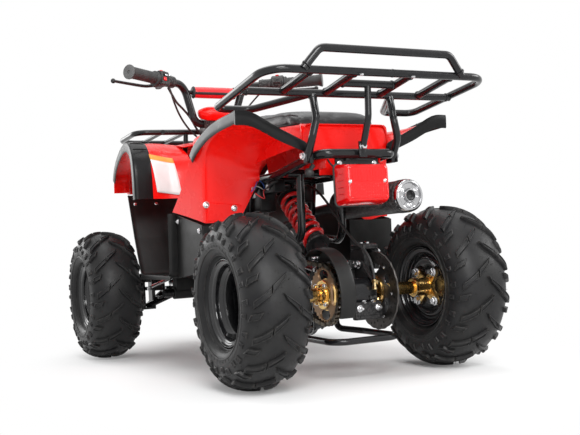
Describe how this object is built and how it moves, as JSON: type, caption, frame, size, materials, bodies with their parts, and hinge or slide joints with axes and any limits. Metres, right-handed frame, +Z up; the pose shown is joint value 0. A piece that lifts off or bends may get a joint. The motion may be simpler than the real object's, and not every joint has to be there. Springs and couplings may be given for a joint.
{
  "type": "youth utility quad bike",
  "caption": "Small red and black four-wheeled bike with tube racks front and rear, foot wells, chain drive and handlebar steering.",
  "frame": {"origin": "middle of the bounding box at ground level", "axes": "+X to the front, +Y to the left, +Z up"},
  "size_m": [1.292, 0.762, 0.7934],
  "materials": {
    "gloss_black_tube": "gloss",
    "satin_black_metal": "satin",
    "gloss_black_rim": "gloss",
    "red_plastic": "gloss",
    "black_plastic": "textured",
    "tyre": "moulded",
    "seat_vinyl": "grained vinyl",
    "grip_rubber": "ribbed",
    "cable_rubber": "smooth",
    "engine_alloy": "cast",
    "gold_steel": "zinc plated",
    "bright_steel": "machined",
    "chain_steel": "oiled",
    "chrome": "polished",
    "red_spring": "gloss",
    "red_lens": "clear",
    "lamp_glass": "clear",
    "exhaust_black": "heat resistant",
    "foam_red": "vinyl",
    "lever_alloy": "satin"
  },
  "bodies": {
    "root": {"frame": "gloss_black_tube", "front_bumper": "gloss_black_tube", "rear_rack": "gloss_black_tube", "front_rack": "gloss_black_tube", "swingarm": "gloss_black_tube", "chain": "chain_steel", "chain_guard": "black_plastic", "brake_caliper": "satin_black_metal", "brake_cable": "cable_rubber", "rear_shock": "red_spring", "engine": "engine_alloy", "intake": "black_plastic", "exhaust": "exhaust_black", "muffler_cap": "chrome", "seat": "seat_vinyl", "rear_bodywork": "red_plastic", "rear_flares": "black_plastic", "front_bodywork": "red_plastic", "tank_cover": "red_plastic", "front_flares": "black_plastic", "headlights": "lamp_glass", "tail_light": "red_lens", "front_shock_left": "red_spring", "front_shock_right": "red_spring", "a_arm_left": "gloss_black_tube", "a_arm_right": "gloss_black_tube", "footwell_left": "black_plastic", "footwell_right": "black_plastic"},
    "steering": {"steering_column": "satin_black_metal", "handlebar": "gloss_black_tube", "grips": "grip_rubber", "crossbar_pad": "foam_red", "handlebar_cover": "red_plastic", "controls_left": "lever_alloy", "controls_right": "lever_alloy"},
    "knuckle_left": {"knuckle_left": "satin_black_metal"},
    "knuckle_right": {"knuckle_right": "satin_black_metal"},
    "tie_rod_left": {"tie_rod_left": "bright_steel"},
    "tie_rod_right": {"tie_rod_right": "bright_steel"},
    "front_wheel_left": {"front_rim_left": "gloss_black_rim", "front_tyre_left": "tyre"},
    "front_wheel_right": {"front_rim_right": "gloss_black_rim", "front_tyre_right": "tyre"},
    "rear_axle": {"rear_axle": "gold_steel", "sprocket": "gold_steel", "brake_disc": "bright_steel", "rear_rim_left": "gloss_black_rim", "rear_tyre_left": "tyre", "rear_rim_right": "gloss_black_rim", "rear_tyre_right": "tyre"}
  },
  "joints": [
    {"name": "steering", "type": "hinge", "parent": "root", "child": "steering", "pos_m": [0.42, 0, 0.262], "axis": [-0.3379, 0, 0.9412], "range_deg": [-32, 32]},
    {"name": "rear_wheels_spin", "type": "hinge", "parent": "root", "child": "rear_axle", "pos_m": [-0.442, 0, 0.18], "axis": [0, 1, 0], "continuous": true},
    {"name": "kingpin_left", "type": "hinge", "parent": "root", "child": "knuckle_left", "pos_m": [0.413, 0.205, 0.18], "axis": [0, 0, 1], "range_deg": [-32, 32]},
    {"name": "front_wheel_spin_left", "type": "hinge", "parent": "knuckle_left", "child": "front_wheel_left", "pos_m": [0.413, 0.31, 0.18], "axis": [0, 1, 0], "continuous": true},
    {"name": "tie_rod_pivot_left", "type": "hinge", "parent": "steering", "child": "tie_rod_left", "pos_m": [0.35933, 0.024, 0.25935], "axis": [-0.3379, 0, 0.9412], "range_deg": [-32, 32]},
    {"name": "kingpin_right", "type": "hinge", "parent": "root", "child": "knuckle_right", "pos_m": [0.413, -0.205, 0.18], "axis": [0, 0, 1], "range_deg": [-32, 32]},
    {"name": "front_wheel_spin_right", "type": "hinge", "parent": "knuckle_right", "child": "front_wheel_right", "pos_m": [0.413, -0.31, 0.18], "axis": [0, 1, 0], "continuous": true},
    {"name": "tie_rod_pivot_right", "type": "hinge", "parent": "steering", "child": "tie_rod_right", "pos_m": [0.35933, -0.024, 0.25935], "axis": [-0.3379, 0, 0.9412], "range_deg": [-32, 32]}
  ],
  "couplings": [
    {"joint": "kingpin_left", "follows": "steering", "ratio": 1},
    {"joint": "tie_rod_pivot_left", "follows": "steering", "ratio": -1},
    {"joint": "kingpin_right", "follows": "steering", "ratio": 1},
    {"joint": "tie_rod_pivot_right", "follows": "steering", "ratio": -1}
  ]
}
